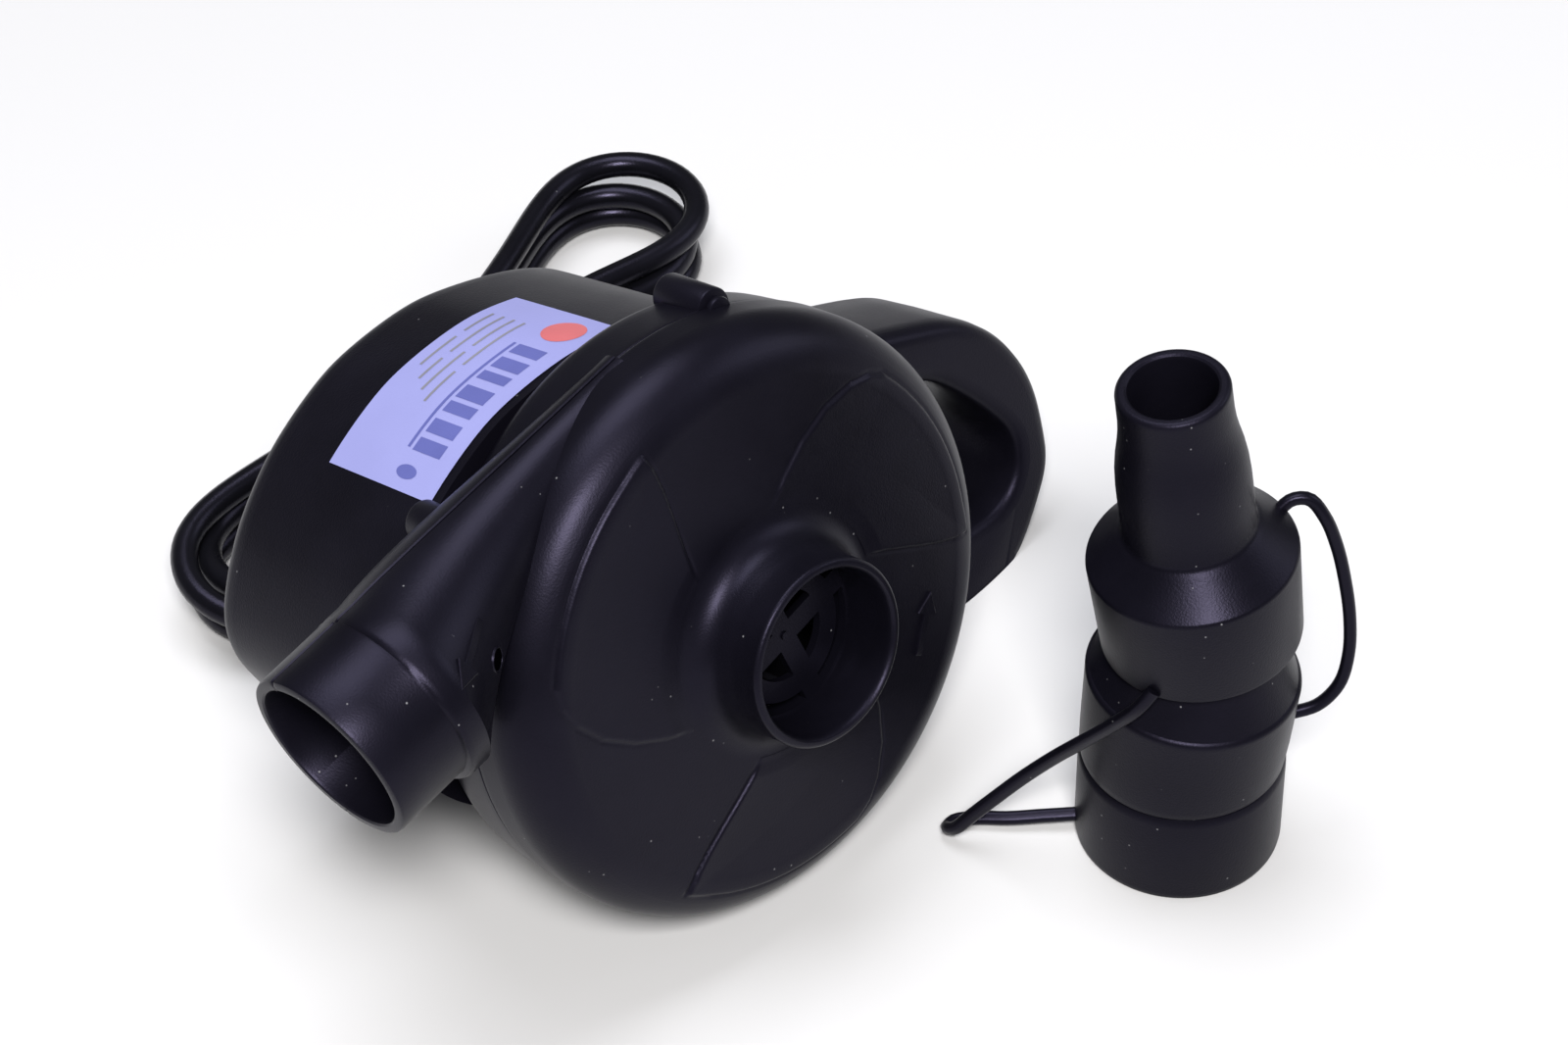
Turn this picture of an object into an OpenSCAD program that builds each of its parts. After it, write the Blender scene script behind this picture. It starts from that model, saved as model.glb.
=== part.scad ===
// Electric air mattress pump with a carrying handle, a mains lead and a set of push-on nozzles.
// Lengths in millimetres. The pump is drawn round its motor axis, with Z towards the intake,
// and lay() then sets it down on the floor, resting on the volute, the housing and the handle.

/* [Volute] */
// radius of the round blower casing
volute_r = 55; // [45:0.5:65]
// depth of the rear half of the casing
rear_depth = 13; // [10:0.5:18]
// height of the straight wall of the front half
edge_height = 5.5; // [3:0.5:10]
// rounding of the front edge
edge_round = 10; // [6:0.5:14]
// wall thickness of the mouldings
wall = 2.2; // [1.6:0.1:3]

/* [Ports] */
// outer radius of the intake port
port_r = 17; // [14:0.1:20]
// height of the intake rim above the parting plane
port_reach = 29.9; // [24:0.1:36]
// outer radius of the outlet collar
collar_r = 16.4; // [14:0.1:20]
// outer radius of the outlet neck where it meets the collar
neck_r = 17.2; // [15:0.1:21]
// length of the outlet collar
collar_length = 14.5; // [10:0.5:24]
// distance from the tangent point to the outlet mouth
outlet_reach = 78; // [60:1:100]
// direction of the outlet in the plane of the casing
outlet_angle = -138; // [-180:1:180]

/* [Motor housing] */
// depth of the housing's rear face behind the parting plane
housing_depth = 64; // [55:1:80]
// wall thickness of the housing
housing_wall = 2.4; // [1.8:0.1:3.5]
// radius of the motor shaft
shaft_r = 3; // [2:0.1:4]
// radius of the impeller
impeller_r = 44; // [36:1:50]
// number of impeller blades
blade_count = 9; // [6:1:14]

/* [Attitude] */
// rise of the motor axis towards the intake
nose_tilt = 15; // [0:1:25]
// direction that points up, in the plane of the casing
roll_up = 122; // [90:1:150]
// height of the parting plane's centre above the floor
lift = 54.65; // [45:0.05:70]
// sideways place of the parting plane's centre
shift_x = -8.1; // [-60:0.1:60]
// front to back place of the parting plane's centre
shift_y = 1.4; // [-60:0.1:60]

/* [Nozzle set] */
// place of the nozzle set beside the pump
nozzle_x = 47.3; // [30:0.1:120]
// place of the nozzle set in front of the pump
nozzle_y = -61.2; // [-120:0.1:0]
// bore radius of the adapters, a sliding fit on the intake port
socket_r = 17.05; // [14:0.05:20]
// lean of the middle adapter, loosely seated
middle_lean = 3.5; // [0:0.5:6]
// lean of the tip nozzle, loosely seated
tip_lean = 7.5; // [0:0.5:9]
// bore radius of the tip
tip_bore_r = 7.5; // [3:0.1:10]

/* [Mains lead] */
// diameter of the lead
cord_d = 5.4; // [5:0.1:8]
// height of the folded hank
hank_height = 16.4; // [10:0.1:24]

/* [Hidden] */
$fn = 96;

black = [0.05, 0.05, 0.06];
dark = [0.09, 0.09, 0.1];
steel = [0.7, 0.7, 0.72];
copper = [0.75, 0.42, 0.2];
eps = 0.01;

// front cover: outline heights and radii
face_w = edge_height + edge_round;
port_bore_r = 15.1;
hub_r = 23;
hub_w = face_w + 1;
hub_fillet = 5.5;
rim_round = 0.9;
grille_w = port_reach - 11.3;

// outlet: distances across the tube's line
outlet_side = 55.2;
collar_w = collar_r - 11.6;
collar_off = outlet_side - collar_r + 0.5;
neck_w = neck_r - 12.2;
root_s = -4;
root_r = 9;
collar_start = outlet_reach - collar_length;

// places of the casing screws: distance from the axis and direction
screw_places = [[54.3, 104], [60.3, 168.5], [53.5, 36], [53.5, 332]];

// outline of the motor housing and of the handle: centre across, centre up, radius
can_rounds = [[0, 17, 30], [-14, 13, 30], [-22, 7, 30], [-27, -1, 30], [-29, -8, 30],
              [-42, -15, 17], [5, -10, 30], [20, -1, 30], [16, 11, 30]];
// depth behind the parting plane and growth of the outline there
can_steps = [[rear_depth, 2], [24, 1.6], [58, 0], [62, -2], [housing_depth, -5.5]];
loop_rounds = [[0, 17, 29], [5, -10, 29], [71.5, 15, 34.3], [91, 19, 15.5]];
loop_steps = [[19, -3], [20, -1.2], [21.5, 0], [42, -0.8], [45, -1.8], [48, -5]];
opening_rounds = [[66, 20, 17], [86, 19.5, 10.5], [63, 5, 7], [62, 24, 12]];

// label: centre of the curved wall it lies on, its sector and its depths
label_centre = [-2, -12];
label_sector = [106.5, 154];
label_depths = [15, 44];

// motor, as depths behind the parting plane
bracket_d = 15.6;
stator_d = 24;
stator_length = 22;
coil_rise = 3.8;
commutator_d = 51;
commutator_length = 6;
rear_bracket_d = 58.6;
stator_r = 24;
bore_r = 14.6;
armature_r = 14;
commutator_r = 8.5;
brush_gap = 0.1;

// cord inlet and switch on the rear wall
inlet = [22, -13.5];
switch_at = [-24, 17];
relief_length = 28;

// hank: centre, direction, half distance between its end rounds, end and waist radius
hank_centre = [31.5, 118.2];
hank_turn = 10.7;
hank_half = 61.5;
hank_end_r = 19.2;
hank_waist_r = 11;
tie_t = 0.8;

// route of the lead from the strain relief to the hank, and from the hank to the plug
lead_route = [[3.4, 84.3, 8.5], [3.5, 87, 7.8], [4.6, 93.7, 7.1], [7.4, 99.4, 7.1], [11.8, 104, 7.7],
              [16.3, 106.7, 8.4], [21.1, 108.2, 8.9]];
plug_route = [[63.4, 110, 4], [70.4, 110.2, 3.2], [76.5, 108.4, 3], [81.9, 104.9, 3.3], [85.7, 100.2, 4.2],
              [88.2, 94.8, 5.6], [89, 88.8, 6.9]];
plug_at = [89, 88.8, 6.9];

// straps, as offsets to the left, to the front and up from the foot of the nozzle set
left_dir = [-0.7, 0.71, 0];
front_dir = [-0.71, -0.7, 0];
strap_r = 1.2;
strap_a = [[7.9, 16.2, 51], [10.2, 16, 47], [14.4, 13.9, 41], [19, 10.5, 33.5], [24, 7.5, 26], [29, 5.5, 19],
           [34, 4.5, 12.5], [38, 4, 7.5], [41, 3.5, 3.6], [42.4, 2, 2], [41, 0, 1.6], [37, -0.5, 1.7],
           [31, 0, 2], [25, 0, 2.4], [18.4, 0, 2.8]];
strap_b = [[-17.4, -8.6, 71.4], [-19.4, -8.8, 73.4], [-21.3, -8.2, 73], [-23.4, -7, 69.8], [-25.4, -6, 64.2],
           [-27.2, -4.5, 57], [-28.4, -3, 49.5], [-28.6, -1.5, 42], [-27.2, 0, 35.8], [-23.6, 1, 31.6],
           [-18.6, 1.5, 30]];

// ---------- helpers ----------
module lay() {
    translate([shift_x, shift_y, lift])
        rotate([90 - nose_tilt, 0, 0]) rotate([0, 0, 90 - roll_up]) children();
}

module floor_block() {
    rotate([0, 0, roll_up - 90]) rotate([nose_tilt - 90, 0, 0])
        translate([-250, -250, -100 - lift]) cube([500, 500, 100]);
}

// disc or tube section between two depths behind the parting plane
module drum(r, d0, d1) {
    translate([0, 0, -d1]) cylinder(r = r, h = d1 - d0);
}

module ring(r_out, r_in, d0, d1) {
    difference() {
        drum(r_out, d0, d1);
        drum(r_in, d0 - 1, d1 + 1);
    }
}

module rounds(list, grow) {
    hull() for (c = list) translate([c[0], c[1]]) circle(r = c[2] + grow, $fn = 40);
}

module stepped(list, steps, grow) {
    hull() for (s = steps)
        translate([0, 0, -s[0]]) linear_extrude(0.05) rounds(list, s[1] + grow);
}

function arc(c, r, a0, a1, n) = [for (i = [0:n]) let (a = a0 + (a1 - a0) * i / n) c + r * [cos(a), sin(a)]];
function unit(v) = v / norm(v);

// closed skin through rings of n points
module skin(points, n) {
    last = len(points) / n - 1;
    sides = [for (i = [0:last - 1]) for (k = [0:n - 1])
        for (f = [[i * n + k, i * n + (k + 1) % n, (i + 1) * n + k],
                  [i * n + (k + 1) % n, (i + 1) * n + (k + 1) % n, (i + 1) * n + k]]) f];
    polyhedron(points, concat([[for (k = [n - 1:-1:0]) k]], sides, [[for (k = [0:n - 1]) last * n + k]]), 4);
}

// closed tube of n sides along a route
module swept(route, r, ref, n = 8) {
    last = len(route) - 1;
    skin([for (i = [0:last])
        let (t = unit(route[min(i + 1, last)] - route[max(i - 1, 0)]),
             a = unit(cross(t, ref)), b = cross(t, a))
        for (k = [0:n - 1]) route[i] + r * (a * cos(360 * k / n) + b * sin(360 * k / n))], n);
}

// ---------- casing ----------
cover_outline = concat(
    [[0, 0], [volute_r, 0], [volute_r, edge_height]],
    arc([volute_r - edge_round, edge_height], edge_round, 10, 90, 8),
    arc([hub_r, hub_w + hub_fillet], hub_fillet, 270, 185, 7),
    [[port_r, 23], [port_r, port_reach - rim_round]],
    arc([port_r - rim_round, port_reach - rim_round], rim_round, 30, 90, 2),
    [[0, port_reach]]);

cover_hollow = concat(
    [[0, -1], [volute_r - wall, -1], [volute_r - wall, edge_height]],
    arc([volute_r - edge_round, edge_height], edge_round - wall, 10, 90, 8),
    [[port_bore_r, hub_w - wall], [port_bore_r, port_reach + 1], [0, port_reach + 1]]);

module across(s, off, w) {
    rotate([0, 0, outlet_angle]) translate([s, -off, w]) rotate([0, 90, 0]) children();
}

module outlet_body(inset, ends) {
    hull() {
        across(root_s, outlet_side - root_r, 0) cylinder(r = root_r - inset, h = 1, $fn = 48);
        for (s = [collar_start - 12, collar_start - 1 + ends])
            on_tube(s, 0) cylinder(r = neck_r - inset, h = 1, $fn = 48);
    }
    across(collar_start - 1, collar_off, collar_w)
        cylinder(r = collar_r - inset, h = collar_length + 1 + ends);
}

// at a distance along the outlet tube, turned round it from its front
module on_tube(s, turn) {
    across(s, outlet_side - neck_r + 0.6, neck_w) rotate([0, 0, turn]) children();
}

module half_space(front) {
    translate([-150, -150, front ? 0 : -150]) cube([300, 300, 150]);
}

module boss(p, w, h, r) {
    rotate([0, 0, p[1]]) translate([p[0], 0, w]) cylinder(r = r, h = h, $fn = 32);
}

module front_cover() {
    color(black) difference() {
        union() {
            rotate_extrude() polygon(cover_outline);
            intersection() {
                outlet_body(0, 0);
                half_space(true);
            }
            for (p = screw_places) boss(p, 0, 1.8, 2.6);
        }
        rotate_extrude() polygon(cover_hollow);
        intersection() {
            outlet_body(wall, 2);
            translate([-150, -150, -1]) cube([300, 300, 60]);
        }
        for (p = screw_places) boss(p, -1, 2.2, 1.3);
        on_tube(48.5, 3) translate([-22, 0, 0]) rotate([0, 90, 0]) cylinder(r = 1.9, h = 10, $fn = 32);
    }
}

module rear_outline() {
    polygon(concat([[0, 0], [0, -rear_depth], [volute_r - 5, -rear_depth]],
        arc([volute_r - 5, 4 - rear_depth], 4, 285, 350, 5),
        [[volute_r - 0.3, 0]]));
}

module rear_shell() {
    color(black) difference() {
        union() {
            rotate_extrude() rear_outline();
            intersection() {
                outlet_body(0, 0);
                half_space(false);
            }
            for (p = screw_places) boss(p, 1 - rear_depth, rear_depth - 1, 3.7);
            ring(26, 22, rear_depth - 1, bracket_d);
        }
        drum(volute_r - wall, -1, rear_depth - wall);
        intersection() {
            outlet_body(wall, 2);
            translate([-150, -150, -60]) cube([300, 300, 61]);
        }
        drum(9, 0, 20);
        for (p = screw_places) {
            boss(p, -20, 21, 1.5);
            boss(p, -20, 20 + 2.8 - rear_depth, 3);
        }
        for (x = [-24, 24]) translate([x, 0, -20]) cylinder(r = 1.6, h = 20, $fn = 24);
    }
}

module cover_screws() {
    color(steel) for (p = screw_places) difference() {
        union() {
            boss(p, 1 - rear_depth, 1.8, 2.8);
            boss(p, 1 - rear_depth, rear_depth + 0.1, 1.25);
        }
        rotate([0, 0, p[1]]) translate([p[0], 0, 0.7 - rear_depth]) {
            translate([-2, -0.3, 0]) cube([4, 0.6, 1]);
            translate([-0.3, -2, 0]) cube([0.6, 4, 1]);
        }
    }
}

// one swirl line: direction from its tip against distance from the axis
swirl_line = [for (i = [0:12]) [48.5, i * 4.2],
              [47.2, 55], [44.6, 60], [40, 66.5], [34, 73.5], [28, 80.5], [23.4, 86.5]];
swirl_root = [for (i = [0:6]) [48.5 - i * 4.2, i * i * 0.42]];
swirl_start = [141, 21, 261];

module strip(points, width) {
    half = width / 2;
    last = len(points) - 1;
    side = function (i) let (t = unit(points[min(i + 1, last)] - points[max(i - 1, 0)])) [-t[1], t[0]];
    polygon(concat([for (i = [0:last]) points[i] + half * side(i)],
                   [for (i = [last:-1:0]) points[i] - half * side(i)]));
}

function polar(list, turn) = [for (p = list) p[0] * [cos(p[1] + turn), sin(p[1] + turn)]];

module swirl_ribs() {
    color(dark) intersection() {
        translate([0, 0, 12]) linear_extrude(7) for (start = swirl_start) {
            strip(polar(swirl_line, start), 0.7);
            strip(polar(swirl_root, start), 0.7);
        }
        rotate_extrude() polygon(concat(
            arc([volute_r - edge_round, edge_height], edge_round + 0.3, 60, 90, 5), [[hub_r, hub_w + 0.3]],
            [[hub_r, hub_w - 0.6]], arc([volute_r - edge_round, edge_height], edge_round - 0.6, 90, 60, 5)));
    }
}

module arrow_shape(length) {
    polygon([[-length / 2, -0.7], [length / 6, -0.7], [length / 6, -2.4], [length / 2, 0],
             [length / 6, 2.4], [length / 6, 0.7], [-length / 2, 0.7]]);
}

module flow_arrows() {
    color(dark) {
        on_tube(54, 35) translate([0.3 - neck_r, 0, 0]) rotate([0, -90, 0])
            linear_extrude(0.8) arrow_shape(14);
        rotate([0, 0, 1]) translate([38, 0, face_w - 0.4]) rotate([0, 0, 90])
            linear_extrude(0.9) arrow_shape(12);
    }
}

module port_grille() {
    color(black) translate([0, 0, grille_w - 1.6]) {
        difference() {
            cylinder(r = port_bore_r, h = 1.6);
            translate([0, 0, -1]) cylinder(r = 14.6, h = 4);
        }
        difference() {
            cylinder(r = 12.3, h = 1.6);
            translate([0, 0, -1]) cylinder(r = 8.4, h = 4);
        }
        for (a = [45, 135]) rotate([0, 0, a]) translate([-14.8, -2.1, 0]) cube([29.6, 4.2, 1.6]);
        cylinder(r = 0.8, h = 2, $fn = 16);
    }
}

// ---------- housing ----------
module motor_housing() {
    inner_steps = [[rear_depth + housing_wall, -0.4], [24, -0.8], [58, -2.4],
                   [housing_depth - housing_wall, -4.5]];
    color(black) difference() {
        union() {
            stepped(can_rounds, can_steps, 0);
            difference() {
                stepped(loop_rounds, loop_steps, 0);
                translate([0, 0, -60]) linear_extrude(60) rounds(opening_rounds, 0);
            }
        }
        stepped(can_rounds, inner_steps, 0);
        drum(30, 0, 30);
        drum(20, 50, 80);
        translate([inlet[0], inlet[1], -80]) cylinder(r = 4.2, h = 30, $fn = 48);
        at_switch(80) translate([-4.2, -6.7, 0]) cube([8.4, 13.4, 30]);
        floor_block();
    }
}

module label() {
    span = label_sector[1] - label_sector[0];
    color([0.9, 0.9, 0.95]) intersection() {
        difference() {
            stepped(can_rounds, can_steps, 0.25);
            stepped(can_rounds, can_steps, 0);
        }
        translate([label_centre[0], label_centre[1], -label_depths[1]])
            linear_extrude(label_depths[1] - label_depths[0])
            polygon(concat([[0, 0]], polar([for (i = [0:6]) [75, label_sector[0] + span * i / 6]], 0)));
    }
}

module rear_grille() {
    color(dark) difference() {
        drum(20, housing_depth - 2.4, housing_depth - 0.2);
        for (i = [-4:4]) translate([-15 + abs(i), i * 3.6 - 0.9, -80]) cube([30 - 2 * abs(i), 1.8, 30]);
    }
}

// ---------- motor ----------
module bracket_front() {
    color(steel) difference() {
        drum(26, bracket_d, bracket_d + 2.4);
        drum(8, 0, 30);
        for (a = [45:90:315]) rotate([0, 0, a]) translate([16, 0, -30]) cylinder(r = 4, h = 30, $fn = 32);
        for (x = [-24, 24]) translate([x, 0, -30]) cylinder(r = 1.3, h = 30, $fn = 24);
        for (y = [-21, 21]) translate([0, y, -30]) cylinder(r = 1.5, h = 30, $fn = 24);
    }
}

module bracket_rear() {
    color(steel) difference() {
        union() {
            drum(9, rear_bracket_d, rear_bracket_d + 2.4);
            translate([-4, -24, -rear_bracket_d - 2.4]) cube([8, 48, 2.4]);
        }
        drum(6, 50, 70);
        for (y = [-21, 21]) translate([0, y, -70]) cylinder(r = 1.5, h = 30, $fn = 24);
    }
}

module tie_bolts() {
    color(steel) for (y = [-21, 21]) translate([0, y, -rear_bracket_d - 2.4]) {
        cylinder(r = 1.5, h = rear_bracket_d + 2.4 - bracket_d, $fn = 24);
        translate([0, 0, rear_bracket_d - bracket_d + 2.4]) cylinder(r = 2.6, h = 1.2, $fn = 24);
    }
    color(steel) for (x = [-24, 24]) translate([x, 0, -bracket_d - 2.4])
        difference() {
            union() {
                cylinder(r = 1.3, h = bracket_d + 2.4 - rear_depth + wall + 0.2, $fn = 24);
                translate([0, 0, bracket_d + 2.4 - rear_depth + wall]) cylinder(r = 2.6, h = 1.4, $fn = 24);
            }
            translate([-2, -0.3, bracket_d + 2.4 - rear_depth + wall + 0.7]) cube([4, 0.6, 2]);
        }
}

module bearing_front() {
    color(steel) ring(8, shaft_r + 0.03, bracket_d - 1, bracket_d + 2.6);
}

module bearing_rear() {
    color(steel) ring(6, shaft_r + 0.03, rear_bracket_d, rear_bracket_d + 2.4);
}

module stator_core() {
    color([0.4, 0.4, 0.42]) difference() {
        drum(stator_r, stator_d, stator_d + stator_length);
        drum(bore_r, stator_d - 1, stator_d + stator_length + 1);
        for (a = [0, 180]) rotate([0, 0, a]) translate([14, -5, -80]) cube([5, 10, 80]);
        for (y = [-21, 21]) translate([0, y, -80]) cylinder(r = 1.5, h = 80, $fn = 24);
    }
}

module field_coils() {
    color(copper) for (d = [stator_d - coil_rise, stator_d + stator_length]) difference() {
        ring(19, bore_r + 0.6, d, d + coil_rise);
        for (a = [90, 270]) rotate([0, 0, a]) translate([10, -2, -80]) cube([12, 4, 80]);
    }
}

module armature_core() {
    color([0.45, 0.45, 0.47]) difference() {
        drum(armature_r, stator_d, stator_d + stator_length);
        for (a = [0:30:330]) rotate([0, 0, a]) translate([12.4, -0.6, -80]) cube([3, 1.2, 80]);
        drum(shaft_r, 0, 80);
    }
}

module armature_windings() {
    color(copper) for (d = [stator_d - 3, stator_d + stator_length]) ring(12.2, shaft_r, d, d + 3);
    color(copper) ring(6, shaft_r, stator_d + stator_length + 3, commutator_d);
}

module commutator() {
    color(copper) difference() {
        ring(commutator_r, shaft_r, commutator_d, commutator_d + commutator_length);
        for (a = [0:30:330]) rotate([0, 0, a]) translate([7.6, -0.2, -80]) cube([2, 0.4, 80]);
    }
}

module motor_shaft() {
    color(steel) drum(shaft_r, -8, rear_bracket_d + 2.2);
}

module cooling_fan() {
    color(dark) {
        ring(6, shaft_r, bracket_d + 2.8, bracket_d + 5);
        difference() {
            for (a = [0:45:315]) rotate([0, 0, a])
                translate([5, -0.6, -bracket_d - 5]) cube([9.4, 1.2, 1.6]);
            drum(5.5, 0, 40);
        }
    }
}

module brush_side() {
    for (a = [0, 180]) rotate([0, 0, a]) translate([0, 0, -commutator_d - commutator_length / 2]) children();
}

module brush_holders() {
    color([0.75, 0.6, 0.3]) brush_side() difference() {
        translate([10, -3.5, -3.4]) cube([13, 7, 6.8]);
        translate([9, -2.5, -2.4]) cube([12.6, 5, 4.8]);
    }
}

module brushes() {
    color([0.15, 0.15, 0.16]) brush_side()
        translate([commutator_r + brush_gap, -2.45, -2.35]) cube([7, 4.9, 4.7]);
}

module brush_springs() {
    color(steel) brush_side() translate([commutator_r + brush_gap + 7, 0, 0]) rotate([0, 90, 0])
        difference() {
            cylinder(r = 1.8, h = 21.6 - commutator_r - brush_gap - 7, $fn = 24);
            translate([0, 0, -1]) cylinder(r = 1.2, h = 20, $fn = 24);
        }
}

module impeller() {
    color([0.16, 0.16, 0.17]) {
        ring(impeller_r, shaft_r, 6.8, 8.4);
        ring(6, shaft_r, -4, 7);
        translate([0, 0, -7]) linear_extrude(14) for (i = [0:blade_count - 1])
            rotate([0, 0, 360 * i / blade_count]) intersection() {
                difference() {
                    translate([20, 22]) circle(r = 24);
                    translate([20, 22]) circle(r = 22.8);
                }
                difference() {
                    circle(r = impeller_r - 0.5);
                    circle(r = 17);
                }
                translate([0, -6]) square([60, 28]);
            }
    }
}

module impeller_nut() {
    color(steel) translate([0, 0, 4]) difference() {
        cylinder(r = 5, h = 3.4, $fn = 6);
        translate([0, 0, -1]) cylinder(r = shaft_r, h = 6);
    }
}

// ---------- electrical parts ----------
module at_switch(depth) {
    translate([switch_at[0], switch_at[1], -depth]) children();
}

module switch_body() {
    color(dark) at_switch(housing_depth) difference() {
        union() {
            translate([-4.2, -6.7, 0]) cube([8.4, 13.4, 12]);
            translate([-5.3, -7.5, -1.4]) cube([10.6, 15, 1.4]);
        }
        translate([-3.6, -6.1, -2]) cube([7.2, 12.2, 8.6]);
    }
}

module switch_rocker() {
    color([0.1, 0.1, 0.11]) at_switch(housing_depth - 0.6) rotate([0, 90, 0])
        translate([0, 0, -3.4]) linear_extrude(6.8)
        polygon([[-1.5, -5.1], [1.5, -5.7], [2.4, -5.4], [1.2, 0], [3.3, 5.4], [2.6, 5.7], [-1.5, 5.1],
            [-2.8, 0]]);
}

module terminal_block() {
    color([0.85, 0.85, 0.8]) translate([-12, -34, -housing_depth + housing_wall + 0.2]) difference() {
        cube([22, 8, 9]);
        for (x = [4, 11, 18]) translate([x, 4, -1]) cylinder(r = 1.6, h = 12, $fn = 24);
    }
}

module wiring() {
    color([0.5, 0.3, 0.15]) {
        swept([[22, -19.5, -54], [20, -22, -54], [16, -25, -56], [13, -28, -57], [10, -30, -57]], 1,
              [0, 0, 1]);
        swept([[-12, -30, -57], [-17, -27, -57], [-24, -18, -56], [-28, -8, -55], [-27.6, 2, -55],
               [-26, 10.4, -56]], 1, [0, 0, 1]);
        swept([[-22, 10.4, -55], [-23, 6.8, -55], [-24.4, 3.4, -54.6], [-24, 0.8, -54]], 1, [0, 0, 1]);
    }
}

module cord_clamp() {
    color(dark) translate([inlet[0], inlet[1], -housing_depth + 3]) difference() {
        translate([-7, -6, 0]) cube([14, 12, 7]);
        translate([0, 0, -1]) cylinder(r = cord_d / 2 + 0.1, h = 9, $fn = 32);
    }
}

module strain_relief() {
    color(black) translate([inlet[0], inlet[1], -housing_depth]) difference() {
        union() {
            translate([0, 0, -relief_length + 3]) cylinder(r1 = 3.7, r2 = 5, h = relief_length - 3);
            translate([0, 0, -3]) cylinder(r = 6.4, h = 3);
            cylinder(r = 4.2, h = 2.6);
        }
        for (i = [0:3]) for (a = [0, 180]) rotate([0, 0, a + 90 * (i % 2)])
            translate([-5, 2.9, -8 - 5 * i]) cube([10, 4, 1.6]);
    }
}

module cord() {
    color(black) {
        swept(lead_route, cord_d / 2, [0, 0, 1], 10);
        swept(plug_route, cord_d / 2, [0, 0, 1], 10);
    }
}

module hank_outline(grow) {
    for (side = [-1, 1]) hull() {
        circle(r = hank_waist_r + grow, $fn = 48);
        translate([side * hank_half, 0]) circle(r = hank_end_r + grow, $fn = 48);
    }
}

module at_hank() {
    translate([hank_centre[0], hank_centre[1], tie_t]) rotate([0, 0, hank_turn]) children();
}

module cord_hank() {
    color(black) at_hank() linear_extrude(hank_height) hank_outline(0);
}

module hank_tie() {
    color([0.2, 0.2, 0.22]) at_hank() difference() {
        translate([-2.5, -hank_waist_r - 1.6, -tie_t])
            cube([5, 2 * hank_waist_r + 3.2, hank_height + 2 * tie_t]);
        translate([-4, -hank_waist_r - 0.7, 0]) cube([8, 2 * hank_waist_r + 1.4, hank_height]);
    }
}

module plug_body() {
    color(black) translate(plug_at) rotate([90, 0, 0]) {
        cylinder(r1 = 3.6, r2 = 5.2, h = 10, $fn = 48);
        hull() {
            translate([0, 0, 10]) cylinder(r = 5.2, h = 1, $fn = 40);
            translate([0, 0, 22]) linear_extrude(6) hull() for (x = [-10.8, 10.8])
                translate([x, 0]) circle(r = 6.85, $fn = 40);
        }
    }
}

module plug_pins() {
    color(steel) for (x = [-9.5, 9.5])
        translate(plug_at + [x, -28, 0]) rotate([90, 0, 0]) cylinder(r = 2, h = 19, $fn = 32);
}

// ---------- nozzle set ----------
module foot() {
    translate([nozzle_x, nozzle_y, 0]) children();
}

module leaning(angle, height) {
    translate([0, 0, height]) rotate(a = angle, v = [0.71, 0.7, 0]) translate([0, 0, -height]) children();
}

adapter_height = 20.6;
socket_depth = 10.5;
middle_z = adapter_height + 1.15;
edge_z = 19.3;
cone_z = 33;
skirt_z = 50.2;
shoulder_z = 20.2;
tip_z = 57.8;

module bottom_adapter() {
    color(black) foot() rotate_extrude()
        polygon([[socket_r, 0], [18.5, 0], [18.85, 0.4], [18.75, adapter_height - 0.8],
            [18, adapter_height], [16.7, adapter_height], [16.7, socket_depth], [socket_r, socket_depth]]);
}

module middle_adapter() {
    color(black) foot() leaning(middle_lean, middle_z) translate([0, 0, middle_z]) rotate_extrude()
        polygon([[13.6, -10], [15.5, -10], [16.1, 0], [17.4, 0], [18.3, 0.5], [18.6, 1.6], [19.2, edge_z],
                 [12.7, cone_z - 1], [12.5, cone_z + 6], [10.9, cone_z + 6], [11.2, cone_z], [15, edge_z], [15, 2]]);
}

module tip_nozzle() {
    color(black) foot() translate([-0.4, 0.4, skirt_z]) leaning(-tip_lean, shoulder_z) rotate_extrude()
        polygon(concat([[16.6, 0], [17.4, 0], [17.8, 0.8], [18.5, shoulder_z], [12, shoulder_z + 6.2],
             [11.6, shoulder_z + 7.5], [11.5, 34], [11.3, 40], [10.8, 46], [10.1, 52], [9.7, tip_z - 1.2]],
            arc([8.5, tip_z - 1.2], 1.2, 20, 90, 4),
            [[8, tip_z], [tip_bore_r, tip_z - 0.5], [tip_bore_r, 43], [10.2, 35], [10.6, 27], [16.6, 18.5]]));
}

function strap_route(list) = [for (p = list) p[0] * left_dir + p[1] * front_dir + [0, 0, p[2]]];

module tether_a() {
    color(dark) foot() swept(strap_route(strap_a), strap_r, front_dir);
}

module tether_b() {
    color(dark) foot() swept(strap_route(strap_b), strap_r, front_dir);
}

lay() front_cover();
lay() swirl_ribs();
lay() flow_arrows();
lay() port_grille();
lay() rear_shell();
lay() cover_screws();
lay() motor_housing();
lay() label();
lay() rear_grille();
lay() impeller();
lay() impeller_nut();
lay() motor_shaft();
lay() armature_core();
lay() armature_windings();
lay() commutator();
lay() cooling_fan();
lay() stator_core();
lay() field_coils();
lay() tie_bolts();
lay() bracket_front();
lay() bracket_rear();
lay() bearing_front();
lay() bearing_rear();
lay() brush_holders();
lay() brushes();
lay() brush_springs();
lay() switch_body();
lay() switch_rocker();
lay() terminal_block();
lay() wiring();
lay() cord_clamp();
lay() strain_relief();
cord();
cord_hank();
hank_tie();
plug_body();
plug_pins();
bottom_adapter();
middle_adapter();
tip_nozzle();
tether_a();
tether_b();
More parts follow.
